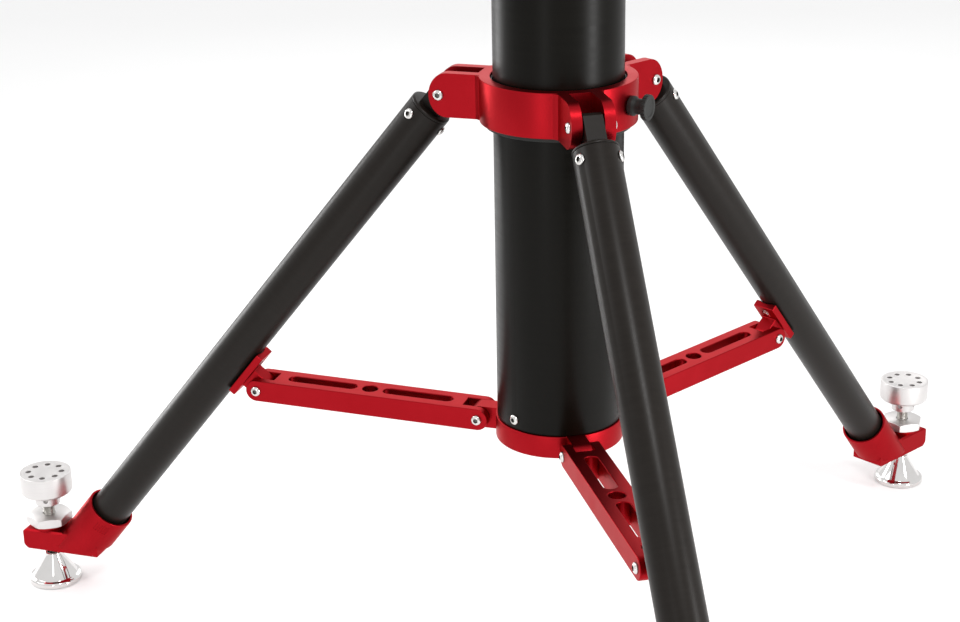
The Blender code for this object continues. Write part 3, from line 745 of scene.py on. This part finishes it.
# ---------------------------------------------------------------- levelling feet
def threaded_rod(radius, pitch, top, bottom, segments=24):
    """A rod with a helical thread about Z, cut 0.55 of the pitch deep."""
    depth = 0.55 * pitch
    turns = int((top - bottom) / pitch)

    def build(shape):
        rows = []
        steps = 4
        for level in range(turns * steps + 1):
            row = []
            for k in range(segments):
                angle = 2 * math.pi * k / segments
                height = top - level * pitch / steps
                phase = (level / steps + k / segments) % 1.0
                reach = radius - depth * abs(2 * phase - 1)
                row.append(shape.verts.new((reach * math.cos(angle), reach * math.sin(angle), height)))
            rows.append(row)
        for upper, lower in zip(rows, rows[1:]):
            for k in range(segments):
                following = (k + 1) % segments
                shape.faces.new((upper[k], lower[k], lower[following], upper[following]))
        shape.faces.new(rows[0])
        shape.faces.new(list(reversed(rows[-1])))
    return mesh_from(build)


def build_foot(side):
    spot = station(side) @ shift(FOOT_R)
    knob_low, knob_high = (corner[2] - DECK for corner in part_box(f"foot_knob_{side}"))
    knob_r, hub_r = KNOB_R, KNOB_HUB_R
    hub_top = knob_high - KNOB_HEIGHT
    profile = [(0.0, knob_high - 0.0004), (knob_r - 0.0045, knob_high - 0.0004), (knob_r - 0.0030, knob_high),
               (knob_r, knob_high), (knob_r, hub_top + 0.0022), (knob_r - 0.0020, hub_top), (hub_r, hub_top),
               (hub_r, knob_low), (ROD_R + GAP, knob_low), (ROD_R + GAP, hub_top + 0.005),
               (0.0, hub_top + 0.005)]
    knob = solid(f"levelling_knob_{side}", turned(profile, 96, False, 0.0008), spot)
    tools = []
    for count in range(KNOB_HOLES):
        angle = math.radians(KNOB_HOLE_START + 45 * count)
        hole = spot @ shift(KNOB_HOLE_PITCH_R * math.cos(angle), KNOB_HOLE_PITCH_R * math.sin(angle), knob_high)
        tools.append((rod(KNOB_HOLE_R, 0.014, 28), hole, "DIFFERENCE"))
    for count in range(4):
        around = spot @ shift(z=hub_top - 0.0060) @ turn(math.radians(20 + 90 * count))
        side_hole = around @ shift(hub_r) @ ALONG_X
        tools.append((rod(HUB_HOLE_R, 0.008, 28), side_hole, "DIFFERENCE"))
    carve(knob, tools)
    weld_and_bevel(knob, 0.0003)
    finish_piece(knob, SATIN, f"knob_{side}", "satin_metal", f"foot_knob_{side}")

    ball_r, ball_z = 0.0052, -0.218
    low = BLOCK_BOTTOM - 0.001
    stem_top = hub_top + 0.005 - GAP
    screw = solid(f"levelling_screw_{side}", threaded_rod(ROD_R, 0.00175, stem_top, low), spot)
    ball = arc(0.0, ball_z, ball_r, 45, -90, 14)
    neck = turned([(0.0, low + 0.001), (0.0042, low + 0.001), (0.0042, low - 0.001), (0.0037, low - 0.002)]
                  + ball[:-1] + [(0.0, ball_z - ball_r)], 48)
    carve(screw, [(neck, spot, "UNION")])
    smooth(screw, 40)
    finish_piece(screw, THREAD_PAINTED_SHADE, f"foot_{side}", "screws", f"foot_screw_{side}")

    neck_r, neck_top = 0.0085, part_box(f"foot_pad_{side}")[1][2] - DECK
    profile = [(0.0, ball_z - 0.0062), (0.0062, ball_z - 0.0062), (0.0062, neck_top), (neck_r, neck_top),
               (neck_r + 0.0004, neck_top - 0.0025), (0.0220, FLOOR + 0.0062), (0.0250, FLOOR + 0.0055),
               (0.0260, FLOOR + 0.0040), (0.0260, FLOOR), (0.0, FLOOR)]
    pad = solid(f"pad_{side}", turned(profile, 96, False, 0.0006), spot)
    smooth(pad)
    finish_piece(pad, CHROME, f"pad_{side}", "chrome_foot", f"foot_pad_{side}")


# ---------------------------------------------------------------- spreader arms
def build_arm(side):
    outer_r = HINGE_R + PIVOT_ALONG * math.sin(LEG_ANGLE) - PIVOT_INWARD * math.cos(LEG_ANGLE)
    outer_z = HINGE_Z - PIVOT_ALONG * math.cos(LEG_ANGLE) - PIVOT_INWARD * math.sin(LEG_ANGLE)
    length = math.hypot(outer_r - BASE_PIVOT_R, outer_z - BASE_PIVOT_Z)
    rise = math.atan2(outer_z - BASE_PIVOT_Z, outer_r - BASE_PIVOT_R)
    axis = station(side) @ shift(BASE_PIVOT_R, 0, BASE_PIVOT_Z) @ turn(-rise, "Y")
    arm = solid(f"spreader_{side}", plate(capsule(0.0, length, ARM_HEIGHT / 2), ARM_WIDTH), axis @ UPRIGHT)
    tools = [(rod(ARM_HOLE_R, 0.060, 64), axis @ shift(length / 2), "DIFFERENCE")]
    for end, centre, direction in (("inner", 0.0, 1), ("outer", length, -1)):
        reach = FORK_DEPTH + 0.030
        tools.append((block(reach, ARM_SLOT, 0.060),
                      axis @ shift(centre + direction * (FORK_DEPTH - reach / 2)), "DIFFERENCE"))
        tools.append((rod(PIN_R + GAP, 0.060), axis @ shift(centre) @ UPRIGHT, "DIFFERENCE"))
        near, far = (centre + direction * distance for distance in WINDOW_SPAN)
        ends = sorted((near + direction * WINDOW_R, far - direction * WINDOW_R))
        tools.append((plate(capsule(*ends, WINDOW_R), 0.060), axis, "DIFFERENCE"))
        build_pin(side, end, axis @ shift(centre) @ UPRIGHT)
    carve(arm, tools)
    weld_and_bevel(arm, 0.0008, 3)
    finish_piece(arm, RED, f"arm_{side}", "red_aluminium", f"arm_{side}")


def build_pin(side, end, place):
    half = ARM_WIDTH / 2 + GAP
    upper = dome(BUTTON_R, BUTTON_HEIGHT, half)
    lower = [(radius, -height) for radius, height in reversed(upper)]
    pin = solid(f"pivot_{end}_{side}", turned(upper + [(PIN_R, half), (PIN_R, -half)] + lower, 40), place)
    recesses = [(hex_recess(0.50 * BUTTON_R, HEX_DEPTH), place @ shift(z=way * (half + BUTTON_HEIGHT)),
                 "DIFFERENCE") for way in (1, -1)]
    carve(pin, recesses)
    weld_and_bevel(pin, 0.0)
    finish_piece(pin, STEEL, f"arm_{side}", "screws", f"arm_{end}_pin_{side}")
    paint_shade(pin, SOCKET_PAINTED_SHADE, in_socket(BUTTON_R, half + BUTTON_HEIGHT))


# ---------------------------------------------------------------- floor, light and camera
def build_stage():
    bpy.ops.mesh.primitive_plane_add(size=40.0, location=(0, 0, -0.0005))
    floor = bpy.context.object
    floor.name = "studio_floor"
    made, tree, shader = new_material("studio_white", (0.94, 0.94, 0.94), 0.6, 0.0)
    faint = noise(tree, 3.0, 2.0)
    tree.links.new(tint(tree, faint, (0.935, 0.935, 0.935), (0.95, 0.95, 0.95)), shader.inputs["Base Color"])
    shader.inputs["Specular IOR Level"].default_value = 0.2
    floor.data.materials.append(made)

    world = bpy.data.worlds.new("studio")
    world.use_nodes = True
    sky = world.node_tree.nodes["Background"]
    sky.inputs["Color"].default_value = (1.0, 1.0, 1.0, 1.0)
    sky.inputs["Strength"].default_value = 0.95
    bpy.context.scene.world = world

    # azimuth about the column, distance, height, width, height of the panel, watts
    middle = Vector((AXIS.x, AXIS.y, 0.40))
    for name, around, distance, height, wide, tall, power in (
            ("right_panel", 345.0, 1.50, 0.46, 0.26, 0.90, 14.0),
            ("left_panel", 160.0, 1.60, 0.46, 0.50, 0.90, 8.0),
            ("front_panel", 262.0, 1.30, 0.46, 0.16, 0.90, 1.3),
            ("back_panel", 105.0, 2.40, 1.35, 1.60, 0.80, 5.0),
            ("upper_left_panel", 195.0, 1.70, 1.50, 0.70, 0.70, 7.0),
            ("upper_front_panel", 305.0, 1.25, 1.95, 0.30, 0.30, 12.0)):
        light = bpy.data.lights.new(name, "AREA")
        light.shape = "RECTANGLE"
        light.size = wide
        light.size_y = tall
        light.energy = power
        lamp = bpy.data.objects.new(name, light)
        bpy.context.scene.collection.objects.link(lamp)
        lamp.visible_camera = False
        angle = math.radians(around)
        spot = Vector((AXIS.x + distance * math.cos(angle), AXIS.y + distance * math.sin(angle), height))
        lamp.location = spot
        lamp.rotation_euler = (middle - spot).to_track_quat("-Z", "Y").to_euler()


def build_camera():
    """The camera stands 1.54 m from the column, looking 20 degrees down, on azimuth 285."""
    data = bpy.data.cameras.new("camera")
    data.sensor_width = 36.0
    data.lens = CAMERA_LENS
    data.shift_x = CAMERA_SHIFT_X
    data.shift_y = CAMERA_SHIFT_Y
    data.clip_start = 0.05
    data.clip_end = 100.0
    camera = bpy.data.objects.new("camera", data)
    bpy.context.scene.collection.objects.link(camera)
    about = DECK_PLACE @ turn(math.radians(CAMERA_ROUND))
    spot = about @ shift(0, -CAMERA_DISTANCE, CAMERA_HEIGHT)
    look = turn(math.radians(-CAMERA_YAW)) @ turn(math.radians(90 - CAMERA_PITCH), "X") @ turn(
        math.radians(CAMERA_ROLL))
    camera.matrix_world = spot @ look
    bpy.context.scene.camera = camera


build_stage()
build_camera()
build_column()
build_collar()
for name in SIDES:
    build_leg(name)
    build_foot(name)
    build_arm(name)

bpy.context.scene.view_settings.view_transform = "Standard"
